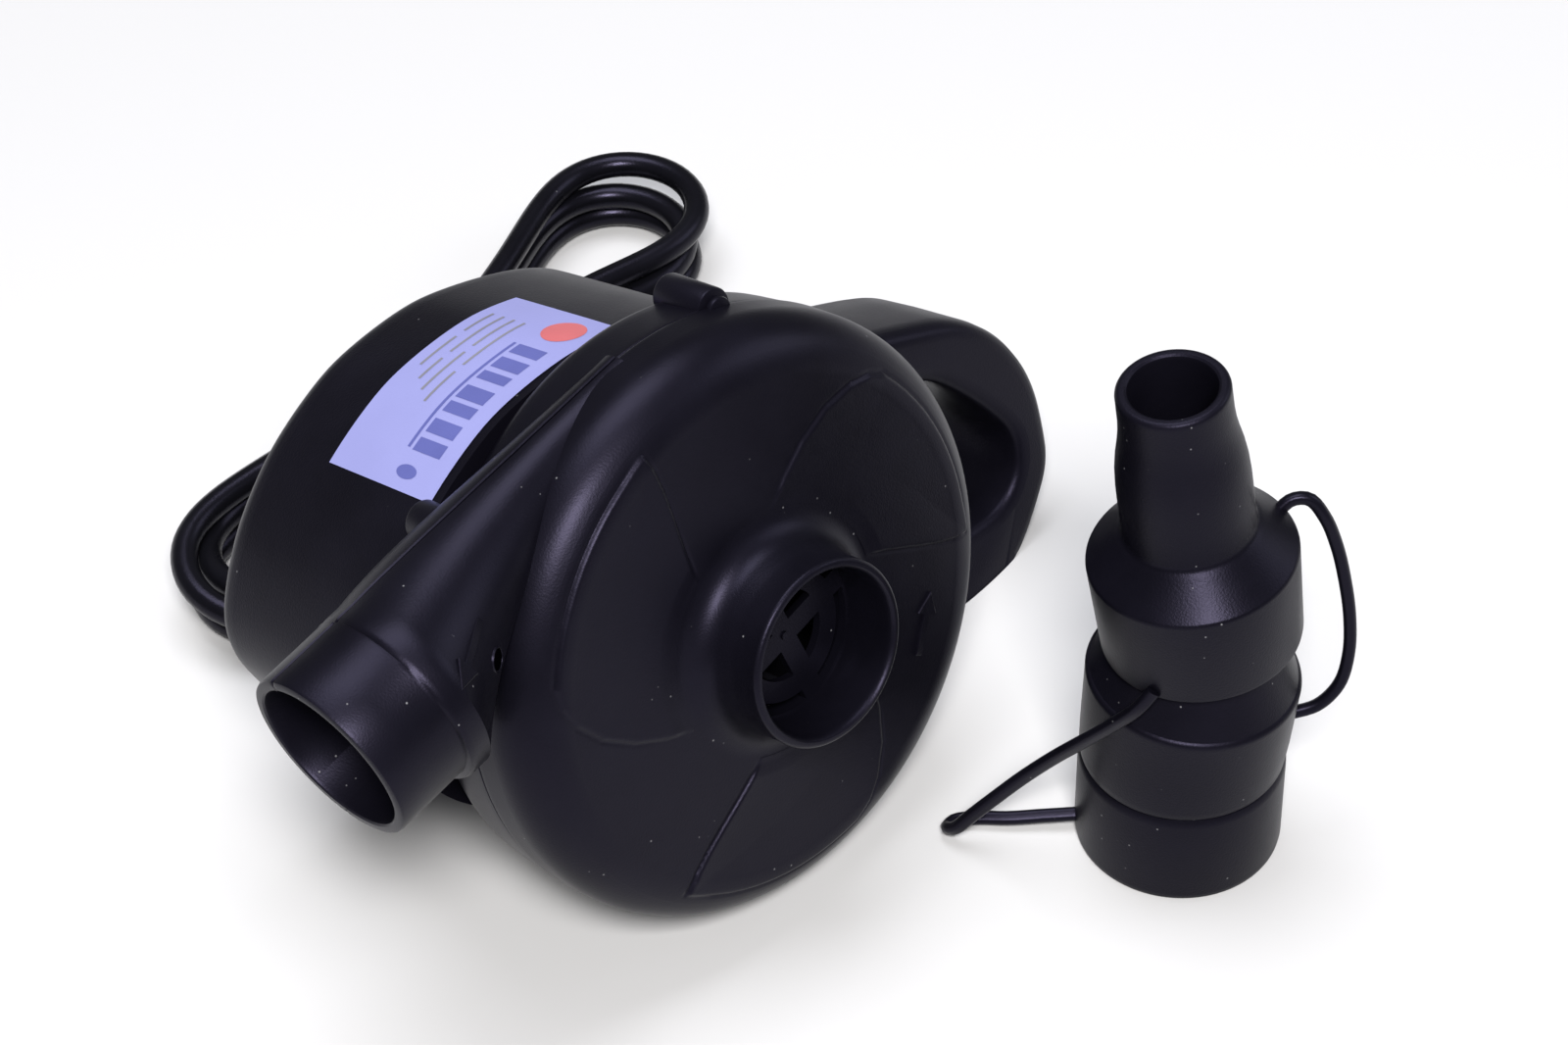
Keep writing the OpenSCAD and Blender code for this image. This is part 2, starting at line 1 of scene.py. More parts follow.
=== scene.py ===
"""Looks of the electric air mattress pump.

Lengths are in millimetres until a mesh is made. Most of the pump is drawn in the pump's own
frame (u across, v up in the plane of the fan casing, w along the motor axis towards the intake),
which PUMP then lays on the floor as the CAD does.
"""

import math

import bpy
import numpy as np
from mathutils import Matrix, Vector
from mathutils.geometry import tessellate_polygon


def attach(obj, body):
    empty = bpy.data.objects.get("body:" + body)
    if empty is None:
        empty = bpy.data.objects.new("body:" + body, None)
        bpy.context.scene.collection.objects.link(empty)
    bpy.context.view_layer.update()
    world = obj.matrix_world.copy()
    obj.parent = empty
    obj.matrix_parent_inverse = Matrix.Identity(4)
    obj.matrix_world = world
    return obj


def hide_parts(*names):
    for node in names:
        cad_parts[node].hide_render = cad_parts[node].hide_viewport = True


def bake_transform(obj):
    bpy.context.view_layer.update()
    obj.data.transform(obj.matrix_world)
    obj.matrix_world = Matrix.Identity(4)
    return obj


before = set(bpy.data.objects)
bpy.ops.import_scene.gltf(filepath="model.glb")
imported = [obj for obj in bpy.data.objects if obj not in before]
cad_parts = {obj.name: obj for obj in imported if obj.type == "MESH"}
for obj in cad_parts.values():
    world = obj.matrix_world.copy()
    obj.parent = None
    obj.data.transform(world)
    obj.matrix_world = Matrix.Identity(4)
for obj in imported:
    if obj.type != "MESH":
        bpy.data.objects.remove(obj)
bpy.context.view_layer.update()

MM = 0.001

# ---------- driving dimensions, as in the CAD ----------
VOLUTE_R = 55
REAR_DEPTH = 13
EDGE_HEIGHT, EDGE_ROUND = 5.5, 10
FACE_W = EDGE_HEIGHT + EDGE_ROUND
HUB_R, HUB_FILLET = 23, 5.5
PORT_R, PORT_BORE_R, PORT_REACH = 17, 15.1, 29.9
COLLAR_R, NECK_R, COLLAR_LENGTH = 16.4, 17.2, 14.5
OUTLET_REACH, OUTLET_ANGLE = 78, -138
WALL = 2.2
HOUSING_DEPTH = 64
GRILLE_R = 20
SWITCH = (-24, 17)
INLET = (22, -13.5)
NOSE_TILT, ROLL_UP = 15, 122
LIFT = 54.65
PLACE = Vector((-8.1, 1.4, LIFT))
NOZZLE = Vector((47.3, -61.2, 0))
CORD_D = 5.4
HANK_CENTRE, HANK_TURN, TIE_T = (31.5, 118.2), 10.7, 0.8
PLUG_AT = Vector((89, 88.8, 6.9))

TURN = (
    Matrix.Rotation(math.radians(90 - NOSE_TILT), 4, "X")
    @ Matrix.Rotation(math.radians(90 - ROLL_UP), 4, "Z")
)
PUMP = Matrix.Translation(PLACE) @ TURN


# ---------- small mesh kit ----------
def arc(c, r, a0, a1, n):
    """Points round c from angle a0 to a1, in degrees."""
    return [
        (c[0] + r * math.cos(math.radians(a)), c[1] + r * math.sin(math.radians(a)))
        for a in np.linspace(a0, a1, n + 1)
    ]


def make(name, body, material, verts, faces, place=PUMP, sharp=32, grounded=False):
    """A smooth-shaded piece from points in millimetres, riding on a body if one is named."""
    matrix = np.array(place)
    points = np.asarray(verts, float) @ matrix[:3, :3].T + matrix[:3, 3]
    if grounded:
        points[:, 2] = np.maximum(points[:, 2], 0)
    mesh = bpy.data.meshes.new(name)
    mesh.from_pydata((points * MM).tolist(), [], [tuple(int(i) for i in f) for f in faces])
    mesh.validate()
    mesh.update()
    mesh.shade_smooth()
    mesh.set_sharp_from_angle(angle=math.radians(sharp))
    mesh.materials.append(material)
    piece = bpy.data.objects.new(name, mesh)
    bpy.context.scene.collection.objects.link(piece)
    if body:
        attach(piece, body)
    return piece


def grid_faces(rows, columns, closed, offset=0):
    """Quads over a grid of points, the columns joined up if closed."""
    faces = []
    for i in range(rows - 1):
        for j in range(columns if closed else columns - 1):
            k = (j + 1) % columns
            faces.append((i * columns + j, i * columns + k, (i + 1) * columns + k, (i + 1) * columns + j))
    return [tuple(offset + i for i in f) for f in faces]


def loft(rows, closed=True, caps=(False, False)):
    """Points and quads through equal rings."""
    rows = [np.asarray(r, float) for r in rows]
    count = len(rows[0])
    verts = np.concatenate(rows)
    faces = grid_faces(len(rows), count, closed)
    if caps[0]:
        faces.append(tuple(reversed(range(count))))
    if caps[1]:
        faces.append(tuple((len(rows) - 1) * count + i for i in range(count)))
    return verts, faces


def revolved(profile, n=192, centre=(0, 0)):
    """A profile of (radius, height) turned round the w axis."""
    a = np.linspace(0, 2 * np.pi, n, endpoint=False)
    rows = [
        np.stack([centre[0] + r * np.cos(a), centre[1] + r * np.sin(a), np.full(n, w)], 1)
        for r, w in profile
    ]
    return loft(rows)


def outline(rounds, grow=0, n=240, soften=0.0):
    """The outline of the hull of circles (x, y, r), its corners softened by averaging over
    directions (in degrees), one point for each direction."""
    a = np.linspace(0, 2 * np.pi, n, endpoint=False)
    normals = np.stack([np.cos(a), np.sin(a)], 1)
    circles = np.array(rounds, float)
    reach = (normals @ circles[:, :2].T + circles[:, 2]).max(1)
    turns = np.fft.rfftfreq(n, 1 / n)
    wave = np.fft.rfft(reach) * np.exp(-0.5 * (turns * math.radians(soften)) ** 2)
    reach = np.fft.irfft(wave, n)
    slope = np.fft.irfft(wave * 1j * turns, n)
    tangents = np.stack([-np.sin(a), np.cos(a)], 1)
    return (reach + grow)[:, None] * normals + slope[:, None] * tangents


def at_depth(points, depth):
    """Flat outline points at a depth behind the parting plane."""
    return np.column_stack([points, np.full(len(points), -float(depth))])


def smooth_path(points, step):
    """An even, smooth run of points through the given ones (centripetal Catmull-Rom)."""
    p = np.asarray(points, float)
    p = np.vstack([2 * p[0] - p[1], p, 2 * p[-1] - p[-2]])
    out = []
    for i in range(1, len(p) - 2):
        spans = np.linalg.norm(np.diff(p[i - 1 : i + 3], axis=0), axis=1)
        t = np.concatenate([[0], np.cumsum(np.sqrt(spans))])
        for u in np.linspace(t[1], t[2], 24, endpoint=False):
            a = [
                (t[k + 1] - u) / (t[k + 1] - t[k]) * p[i - 1 + k] + (u - t[k]) / (t[k + 1] - t[k]) * p[i + k]
                for k in range(3)
            ]
            b = [
                (t[k + 2] - u) / (t[k + 2] - t[k]) * a[k] + (u - t[k]) / (t[k + 2] - t[k]) * a[k + 1]
                for k in range(2)
            ]
            out.append((t[2] - u) / (t[2] - t[1]) * b[0] + (u - t[1]) / (t[2] - t[1]) * b[1])
    out.append(p[-2])
    out = np.array(out)
    along = np.concatenate([[0], np.cumsum(np.linalg.norm(np.diff(out, axis=0), axis=1))])
    s = np.linspace(0, along[-1], max(2, int(round(along[-1] / step)) + 1))
    return np.column_stack([np.interp(s, along, out[:, k]) for k in range(3)])


def tube(points, section, up=(0, 0, 1)):
    """A section of (side, up) points swept along a path, with closed ends."""
    p = np.asarray(points, float)
    tangents = np.gradient(p, axis=0)
    tangents /= np.linalg.norm(tangents, axis=1)[:, None]
    side = np.cross(tangents[0], up)
    rows = []
    for point, t in zip(p, tangents):
        side = side - t * (side @ t)
        side /= np.linalg.norm(side)
        lift = np.cross(side, t)
        rows.append([point + x * side + y * lift for x, y in section])
    return loft(rows, caps=(True, True))


def joined(*parts):
    """Several (points, faces) as one."""
    verts, faces = [], []
    for v, f in parts:
        faces += [tuple(i + len(verts) for i in face) for face in f]
        verts += [tuple(x) for x in np.asarray(v, float)]
    return verts, faces


def moved(part, matrix):
    """A part (points, faces) moved by a matrix."""
    m = np.array(matrix)
    return np.asarray(part[0], float) @ m[:3, :3].T + m[:3, 3], part[1]


# ---------- materials ----------
def node(tree, kind, **inputs):
    """A shader node with its settings, and its inputs set or linked."""
    made = tree.nodes.new(kind)
    for name, value in inputs.items():
        key = name.replace("_", " ")
        if hasattr(made, name) and name not in made.inputs:
            setattr(made, name, value)
        elif isinstance(value, bpy.types.NodeSocket):
            tree.links.new(value, made.inputs[key])
        else:
            made.inputs[key].default_value = value
    return made


def ramp(tree, fac, low, high, a, b):
    """Maps fac from low..high onto a..b."""
    made = node(tree, "ShaderNodeMapRange", clamp=True)
    tree.links.new(fac, made.inputs["Value"])
    for key, value in (("From Min", low), ("From Max", high), ("To Min", a), ("To Max", b)):
        made.inputs[key].default_value = value
    return made.outputs["Result"]


def mixed(tree, fac, a, b):
    """Colour a, or b where fac is 1."""
    made = node(tree, "ShaderNodeMix", data_type="RGBA")
    for socket, value in ((0, fac), (6, a), (7, b)):
        if isinstance(value, bpy.types.NodeSocket):
            tree.links.new(value, made.inputs[socket])
        else:
            made.inputs[socket].default_value = value
    return made.outputs[2]


def moulded(name, colour, rough, spread=0.06, grain=0.02, dust=0.0, metallic=0.0, mottle=0.25,
            gleam=0.5, tint=(1, 1, 1, 1)):
    """Moulded plastic or plain metal: uneven gloss, fine grain and a little dust."""
    material = bpy.data.materials.new(name)
    material.use_nodes = True
    tree = material.node_tree
    shader = tree.nodes["Principled BSDF"]
    place = node(tree, "ShaderNodeTexCoord").outputs["Object"]
    cloud = node(tree, "ShaderNodeTexNoise", Vector=place, Scale=45.0, Detail=4.0, Roughness=0.6)
    fine = node(tree, "ShaderNodeTexNoise", Vector=place, Scale=2600.0, Detail=2.0, Roughness=0.5)
    cloud, fine = cloud.outputs["Fac"], fine.outputs["Fac"]
    dark = tuple(c * (1 - mottle) for c in colour) + (1,)
    light = tuple(min(1, c * (1 + mottle)) for c in colour) + (1,)
    base = mixed(tree, ramp(tree, cloud, 0.3, 0.7, 0, 1), dark, light)
    gloss = ramp(tree, cloud, 0.3, 0.7, rough - spread, rough + spread)
    if dust:
        cells = node(tree, "ShaderNodeTexVoronoi", Vector=place, Scale=520.0)
        cells.inputs["Randomness"].default_value = 1.0
        speck = ramp(tree, cells.outputs["Distance"], 0.05, 0.12, 1, 0)
        pick = node(tree, "ShaderNodeSeparateColor", Color=cells.outputs["Color"]).outputs[0]
        rare = ramp(tree, pick, 1 - dust, 1 - dust * 0.6, 0, 1)
        both = node(tree, "ShaderNodeMath", operation="MULTIPLY")
        tree.links.new(speck, both.inputs[0])
        tree.links.new(rare, both.inputs[1])
        base = mixed(tree, both.outputs[0], base, (0.15, 0.15, 0.16, 1))
    tree.links.new(base, shader.inputs["Base Color"])
    tree.links.new(gloss, shader.inputs["Roughness"])
    shader.inputs["Metallic"].default_value = metallic
    shader.inputs["Specular IOR Level"].default_value = gleam
    shader.inputs["Specular Tint"].default_value = tint
    bump = node(tree, "ShaderNodeBump", Height=fine, Strength=grain, Distance=0.0003)
    tree.links.new(bump.outputs["Normal"], shader.inputs["Normal"])
    return material


# The second colour is a bluish specular tint for the plastics. It is painted light: it gives their
# reflections the colour of a bluish light.
BLACK, PAINTED_BLUE_LIGHT = (0.0030, 0.0028, 0.0050), (0.68, 0.63, 1.0, 1)
casing = moulded("casing_plastic", BLACK, 0.37, 0.03, 0.10, dust=0.07, gleam=0.15, tint=PAINTED_BLUE_LIGHT)
housing_mat = moulded("housing_plastic", BLACK, 0.37, 0.03, 0.16, dust=0.05, gleam=0.13, tint=PAINTED_BLUE_LIGHT)
nozzle_mat = moulded("nozzle_plastic", BLACK, 0.39, 0.04, 0.14, dust=0.12, gleam=0.13, tint=PAINTED_BLUE_LIGHT)
strap_mat = moulded("strap_plastic", BLACK, 0.34, 0.05, 0.08, dust=0.05, gleam=0.15, tint=PAINTED_BLUE_LIGHT)
cord_mat = moulded("cord_sheath", (0.003, 0.003, 0.0042), 0.28, 0.05, 0.10, dust=0.04, gleam=0.17,
                   tint=PAINTED_BLUE_LIGHT)
trim_mat = moulded("trim_plastic", (0.006, 0.006, 0.008), 0.42, 0.05, 0.15, gleam=0.3, tint=PAINTED_BLUE_LIGHT)
gloss_mat = moulded("rocker_plastic", (0.005, 0.005, 0.006), 0.22, 0.03, 0.04, gleam=0.4)
steel_mat = moulded("plated_steel", (0.55, 0.55, 0.57), 0.32, 0.07, 0.1, metallic=1.0, mottle=0.08)
iron_mat = moulded("lamination_iron", (0.20, 0.20, 0.21), 0.50, 0.08, 0.3, metallic=0.9, mottle=0.15)
copper_mat = moulded("enamelled_copper", (0.50, 0.20, 0.08), 0.34, 0.08, 0.4, metallic=0.9, mottle=0.2)
brass_mat = moulded("pressed_brass", (0.62, 0.45, 0.18), 0.34, 0.06, 0.1, metallic=1.0, mottle=0.08)
carbon_mat = moulded("carbon", (0.03, 0.03, 0.032), 0.6, 0.05, 0.3)
ivory_mat = moulded("ivory_plastic", (0.6, 0.58, 0.5), 0.45, 0.05, 0.1, mottle=0.05)
wire_mat = moulded("wire_sheath", (0.25, 0.09, 0.03), 0.4, 0.05, 0.1)
# The label paper's blue is painted light: the paper's own pale tone with the bluish light tinted in.
paper_mat = moulded("label_paper_blue_light", (0.22, 0.23, 0.47), 0.5, 0.04, 0.12, mottle=0.03)
blue_ink = moulded("blue_ink", (0.075, 0.085, 0.27), 0.45, 0.04, 0.1, mottle=0.1)
red_ink = moulded("red_ink", (0.42, 0.10, 0.11), 0.45, 0.04, 0.1, mottle=0.1)
grey_ink = moulded("grey_ink", (0.16, 0.16, 0.19), 0.5, 0.04, 0.1, mottle=0.15)

CAD_LOOKS = {
    "port_grille": casing, "cover_screws": steel_mat, "rear_grille": trim_mat, "impeller": trim_mat,
    "impeller_nut": steel_mat, "motor_shaft": steel_mat, "armature_core": iron_mat,
    "armature_windings": copper_mat, "commutator": copper_mat, "cooling_fan": trim_mat,
    "stator_core": iron_mat, "field_coils": copper_mat, "tie_bolts": steel_mat,
    "bracket_front": steel_mat, "bracket_rear": steel_mat, "bearing_front": steel_mat,
    "bearing_rear": steel_mat, "brush_holders": brass_mat, "brushes": carbon_mat,
    "brush_springs": steel_mat, "switch_body": trim_mat, "switch_rocker": gloss_mat,
    "terminal_block": ivory_mat, "wiring": wire_mat, "cord_clamp": trim_mat, "plug_pins": steel_mat,
}
for name, look in CAD_LOOKS.items():
    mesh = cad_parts[name].data
    mesh.materials.clear()
    mesh.materials.append(look)


# ---------- camera ----------
camera = bpy.data.objects.new("camera", bpy.data.cameras.new("camera"))
camera.data.lens = 90
camera.data.sensor_width = 36
camera.data.clip_start = 0.01
RIGHT = Vector((0.6972, -0.7164, -0.0255)).normalized()
BACK = Vector((-0.5034, -0.5146, 0.6941))
UP = BACK.cross(RIGHT).normalized()
BACK = RIGHT.cross(UP)
camera.matrix_world = Matrix.Translation(Vector((-337.52, -354.18, 541.22)) * MM) @ Matrix(
    (RIGHT, UP, BACK)
).transposed().to_4x4()
bpy.context.scene.collection.objects.link(camera)
bpy.context.scene.camera = camera


# ---------- mains lead ----------
LEAD_ROUTE = [(3.4, 84.3, 8.5), (3.5, 87, 7.8), (4.6, 93.7, 7.7), (7.4, 99.4, 7.8), (11.8, 104, 8.3),
              (16.3, 106.7, 8.4)]
PLUG_ROUTE = [(63.4, 110, 4), (70.4, 110.2, 3.2), (76.5, 108.4, 3), (81.9, 104.9, 3.3),
              (85.7, 100.2, 4.2), (88.2, 94.8, 5.6), (89, 88.8, 6.9)]
FOLD_Y, FOLD_R = -1.5, 16.5
EASING_ROUNDS = 14
LAYERS = [TIE_T + CORD_D / 2 + 0.05 + i * (CORD_D + 0.05) for i in range(3)]


def fold(centre, side, z0, z1):
    """An end loop of the hank: side 1 runs front to back on the right, -1 back to front on the left."""
    points = []
    for a, share in ((-100, 0), (-67, 0.06), (-33, 0.25), (0, 0.5), (33, 0.75), (67, 0.94), (100, 1)):
        angle = math.radians(a)
        points.append((side * (centre + FOLD_R * math.cos(angle)), side * FOLD_R * math.sin(angle) + FOLD_Y,
                       z0 + (z1 - z0) * share))
    return points


def hank_route():
    """Three turns of lead in the hank's own frame, from the relief's side to the plug's side."""
    low, mid, top = LAYERS
    route = [(-2, -8.2, mid), (30, -10.8, mid)]
    route += fold(54, 1, mid, mid) + [(28, 9.5, mid), (0, 5.3, mid), (-28, 9, mid)]
    route += fold(55, -1, mid, top) + [(-30, -8.2, top), (0, -3.0, top), (30, -8.6, top)]
    route += fold(58.6, 1, top, top) + [(30, 9, top), (0, 4.6, top), (-30, 9.2, top)]
    route += fold(61.4, -1, top, mid) + [(-32, -6.4, mid - 3), (0, -2.7, low), (30, -6.2, low)]
    route += fold(55, 1, low, low) + [(30, 9.5, low), (0, 5.6, low), (-30, 10, low)]
    route += fold(58, -1, low, low) + [(-30, -12, low - 0.6), (0, -8.5, low), (17, -10.4, low)]
    turn = math.radians(HANK_TURN)
    c, s = math.cos(turn), math.sin(turn)
    return [(HANK_CENTRE[0] + x * c - y * s, HANK_CENTRE[1] + x * s + y * c, z) for x, y, z in route]


def piece_of_cord():
    """The whole mains lead as one curve, and its length."""
    path = smooth_path(LEAD_ROUTE + hank_route() + PLUG_ROUTE, 2.0)
    for _ in range(EASING_ROUNDS):  # a stiff lead eases its own bends
        path[1:-1] = path[1:-1] / 2 + (path[:-2] + path[2:]) / 4
    curve = bpy.data.curves.new("mains_lead", "CURVE")
    curve.dimensions = "3D"
    spline = curve.splines.new("POLY")
    spline.points.add(len(path) - 1)
    for point, place in zip(spline.points, path):
        point.co = (*(place * MM), 1)
    curve.bevel_depth = CORD_D / 2 * MM
    curve.bevel_resolution = 5
    curve.use_fill_caps = True
    curve.materials.append(cord_mat)
    piece = bpy.data.objects.new("mains_lead", curve)
    bpy.context.scene.collection.objects.link(piece)
    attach(piece, "pump")
    length = float(np.linalg.norm(np.diff(path, axis=0), axis=1).sum()) * MM
    return piece, length


lead, lead_length = piece_of_cord()
print("lead length", round(lead_length, 3))


def flat_section(width, height, n=7):
    """A rounded rectangle, for sweeping."""
    r = min(width, height) * 0.42
    x, y = width / 2 - r, height / 2 - r
    return arc((x, -y), r, -90, 0, n) + arc((x, y), r, 0, 90, n) + arc((-x, y), r, 90, 180, n) + arc(
        (-x, -y), r, 180, 270, n
    )


def plug():
    """Two-pin moulded plug: ribbed tail, tapering body, flat face."""
    rows = []
    tail = [(0, 3.4), (0.5, 3.8), (10, 5.0)]
    for i in range(5):
        d = 1.6 + 1.9 * i
        tail += [(d, 3.9 + 0.1 * i), (d + 0.3, 3.2 + 0.1 * i), (d + 0.9, 3.2 + 0.1 * i),
                 (d + 1.2, 4.0 + 0.1 * i)]
    tail = sorted(tail)
    a = np.linspace(0, 2 * np.pi, 64, endpoint=False)
    for d, r in tail:
        rows.append(np.stack([r * np.cos(a), np.full(64, -d), r * np.sin(a)], 1))
    for t in np.linspace(0, 1, 9):
        half, r, d = 10.8 * t**1.3, 5.2 + 1.65 * t, 10.4 + 11.6 * t
        edge = outline([(-half, 0, r), (half, 0, r)], 0, 64)
        rows.append(np.column_stack([edge[:, 0], np.full(64, -d), edge[:, 1]]))
    for d, grow in ((27.0, 0), (27.6, -0.25), (28, -0.9)):
        edge = outline([(-10.8, 0, 6.85), (10.8, 0, 6.85)], grow, 64)
        rows.append(np.column_stack([edge[:, 0], np.full(64, -d), edge[:, 1]]))
    verts, faces = loft(rows, caps=(True, True))
    return make("plug", "pump", cord_mat, verts, faces, Matrix.Translation(PLUG_AT))


plug_piece = plug()
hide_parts("plug_body")


def tie():
    """Twist tie: a flat band wound twice round the waist."""
    band = flat_section(3.2, 0.7, 2)
    corners = [(-5.6, 5.6, 5.2), (5.6, 5.6, 5.2), (-5.6, 11.4, 5.2), (5.2, 11.4, 5.2)]
    ring = [(0, y, z) for y, z in outline(corners, 0.5, 48)]
    loop = np.array(ring + ring[:1])
    parts = []
    for dx, tilt in ((-1.5, 0.05), (1.4, -0.06)):
        turned = loop.copy()
        turned[:, 0] = dx + tilt * turned[:, 1]
        parts.append(tube(turned, band, (1, 0, 0)))
    return parts


tie_place = Matrix.Translation((HANK_CENTRE[0], HANK_CENTRE[1], 0.3)) @ Matrix.Rotation(
    math.radians(HANK_TURN), 4, "Z"
)
tie_piece = make("cable_tie", "pump", trim_mat, *joined(*tie()), tie_place)
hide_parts("hank_tie")
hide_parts("cord", "cord_hank")


# ---------- fan casing ----------
OUT_A = math.radians(OUTLET_ANGLE)
ALONG = np.array([math.cos(OUT_A), math.sin(OUT_A), 0])
OFF = np.array([math.sin(OUT_A), -math.cos(OUT_A), 0])
SIDE = 55.2
ROOT_S, ROOT_R = -4, 5.6
NECK = (59, SIDE - NECK_R + 0.6, NECK_R - 12.2, NECK_R)
COLLAR_W = COLLAR_R - 11.6
COLLAR = (0, SIDE - COLLAR_R + 0.5, COLLAR_W, COLLAR_R)


def tube_at(s):
    """Centre offset, centre height and radius of the outlet tube at a distance along it."""
    t = np.clip((s - ROOT_S) / (NECK[0] - ROOT_S), 0, 1)
    r = ROOT_R + (NECK_R - ROOT_R) * t**1.9
    return SIDE + 0.6 * t**5 - r, NECK[2] * t**5, r


def in_outlet(points, inset):
    """Which points lie inside the outlet tube's bore."""
    p = np.asarray(points, float)
    s = p @ ALONG
    off, w, r = tube_at(s)
    return (s > 8) & (np.hypot(p @ OFF - off, p[:, 2] - w) < r - inset)


def without(part, inside):
    """Drops the faces whose middle lies inside."""
    verts, faces = np.asarray(part[0], float), part[1]
    middles = np.array([verts[list(f)].mean(0) for f in faces])
    drop = inside(middles)
    return verts, [f for f, gone in zip(faces, drop) if not gone]


def swirl():
    """The long and the short side of one petal of the relief: distance from the axis and direction."""
    long_side = [(48.5, i * 4.2) for i in range(13)]
    long_side += [(47.2, 55), (44.6, 60), (40, 66.5), (34, 73.5), (28, 80.5), (23.4, 86.5)]
    short_side = [(48.5 - i * 4.2, i * i * 0.42) for i in range(7)]
    return long_side, short_side


def to_plane(line, turn):
    """Flat points of a line of (distance, direction), turned round the axis."""
    return np.array(
        [(r * math.cos(math.radians(a + turn)), r * math.sin(math.radians(a + turn))) for r, a in line]
    )


def distance_to(points, line):
    """Distance of flat points from a polyline, with the sign of the nearest side."""
    best = np.full(len(points), 1e9)
    sign = np.zeros(len(points))
    for a, b in zip(line[:-1], line[1:]):
        ab = b - a
        t = np.clip(((points - a) @ ab) / (ab @ ab), 0, 1)
        rel = points - (a + t[:, None] * ab)
        d = np.hypot(rel[:, 0], rel[:, 1])
        closer = d < best
        best[closer] = d[closer]
        sign[closer] = np.sign(ab[0] * rel[closer, 1] - ab[1] * rel[closer, 0])
    return best, sign


PETAL_STARTS = (141, 21, 261)
# where the cover's flat face begins, and where its finer mesh begins on the rounded edge
FLAT_R, FINE_R = VOLUTE_R - EDGE_ROUND, 50.3


def relief(points):
    """Height of the swirl relief over the casing's face: a step and a fine groove along each petal."""
    height = np.zeros(len(points))
    r = np.hypot(points[:, 0], points[:, 1])
    for start in PETAL_STARTS:
        long_side, short_side = (to_plane(line, start) for line in swirl())
        angle = (np.degrees(np.arctan2(points[:, 1], points[:, 0])) - start) % 360
        far, far_sign = distance_to(points, long_side)
        near, near_sign = distance_to(points, short_side)
        fade_far = np.clip((angle - 2) / 6, 0, 1) * np.clip((86.5 - angle) / 22, 0, 1)
        fade_near = np.clip((r - 23.5) / 3, 0, 1)
        inside_far = np.clip(0.5 + far_sign * far / 0.7, 0, 1)
        inside_near = np.clip(0.5 - near_sign * near / 0.7, 0, 1)
        held = (angle < 100) | (angle > 345)
        rise = 0.5 * inside_far * inside_near * np.exp(-np.minimum(far, near) / 7)
        groove = 0.32 * np.exp(-((far / 0.45) ** 2)) * np.where(angle < 88, fade_far, 0)
        groove += 0.34 * np.exp(-((near / 0.4) ** 2)) * fade_near * np.where(r < 49, 1, 0)
        height += np.where(held, rise * np.maximum(fade_near, 0.2) - groove, 0)
    return height


def cover_disc():
    """Front cover: seam, rounded edge, face with the swirl relief, hub fillet, port, rim and bore."""
    profile = [(53.0, 0.2), (VOLUTE_R - 0.2, 0.2), (VOLUTE_R - 0.05, 0.36), (VOLUTE_R, 0.6)]
    profile += [(VOLUTE_R, w) for w in np.arange(1.4, EDGE_HEIGHT + 0.1, 1.0)]
    profile += arc((VOLUTE_R - EDGE_ROUND, EDGE_HEIGHT), EDGE_ROUND, 0, 58, 12)
    fine = []
    low = math.degrees(math.acos((FINE_R - FLAT_R) / EDGE_ROUND))
    fine += arc((VOLUTE_R - EDGE_ROUND, EDGE_HEIGHT), EDGE_ROUND, low, 90, 18)
    fine += [(r, FACE_W + (1.0 * (FLAT_R - r) / (FLAT_R - HUB_R))) for r in np.linspace(44.6, HUB_R, 62)]
    hub_w = FACE_W + 1
    rest = arc((HUB_R, hub_w + HUB_FILLET), HUB_FILLET, 265, 188, 12)
    rest += [(PORT_R + 0.12, 23.4), (PORT_R, 24.5), (PORT_R, PORT_REACH - 1.1)]
    rest += arc((PORT_R - 0.9, PORT_REACH - 1.0), 0.95, 10, 90, 5)
    rest += [(15.75, PORT_REACH - 0.06), (15.45, PORT_REACH - 0.3), (15.2, PORT_REACH - 0.8)]
    rest += [(PORT_BORE_R, PORT_REACH - 1.6), (PORT_BORE_R, 12)]
    n = 960
    a = np.linspace(0, 2 * np.pi, n, endpoint=False)
    rows = []
    for r, w in fine:
        ring = np.stack([r * np.cos(a), r * np.sin(a), np.full(n, w)], 1)
        lift = relief(ring[:, :2])
        tilt = math.radians(90)
        if r > FLAT_R:
            tilt = math.asin(min(1, (w - EDGE_HEIGHT) / EDGE_ROUND))
        ring[:, 0] += lift * math.cos(tilt) * np.cos(a)
        ring[:, 1] += lift * math.cos(tilt) * np.sin(a)
        ring[:, 2] += lift * math.sin(tilt)
        rows.append(ring)
    face = loft(rows)
    outer = revolved(profile[:-1] + [fine[0]], n)
    hub = revolved([fine[-1]] + rest, n // 2)
    shell = without(joined(outer, face), lambda p: in_outlet(p, 1.1))
    return joined(shell, hub)


